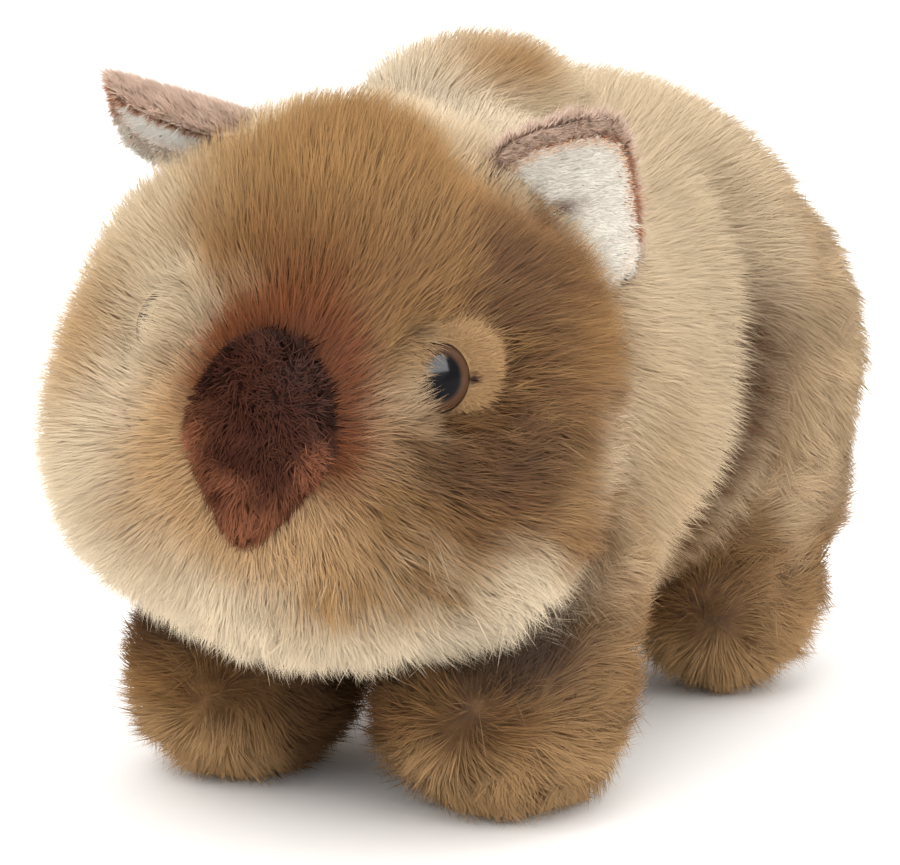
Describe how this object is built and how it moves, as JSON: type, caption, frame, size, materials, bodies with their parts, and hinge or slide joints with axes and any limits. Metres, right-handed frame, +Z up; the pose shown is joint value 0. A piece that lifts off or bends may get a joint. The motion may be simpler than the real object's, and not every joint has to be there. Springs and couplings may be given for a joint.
{
  "type": "plush toy wombat",
  "caption": "Stuffed plush toy wombat standing on short legs, with a large round head turned to its left, a brown shield-shaped nose, cupped ears, glossy eyes and a high humped back.",
  "frame": {"origin": "on the floor under the middle of the toy's whole box", "axes": "+Z up, the toy faces -Y, and its own left side is +X"},
  "size_m": [0.1538, 0.2828, 0.179],
  "materials": {
    "plush": "soft plush with a pile about 10 mm long, airbrushed from cream to brown",
    "nose_plush": "short dark red-brown plush",
    "ear_plush": "short mauve-brown plush",
    "ear_lining": "cream velour",
    "eye": "polished"
  },
  "bodies": {
    "root": {"torso": "plush", "head": "plush", "leg_front_left": "plush", "leg_front_right": "plush", "leg_rear_left": "plush", "leg_rear_right": "plush", "tail": "plush", "nose": "nose_plush", "ear_left": "ear_plush", "ear_right": "ear_plush", "ear_lining_left": "ear_lining", "ear_lining_right": "ear_lining", "eye_left": "eye", "eye_right": "eye"}
  },
  "joints": []
}
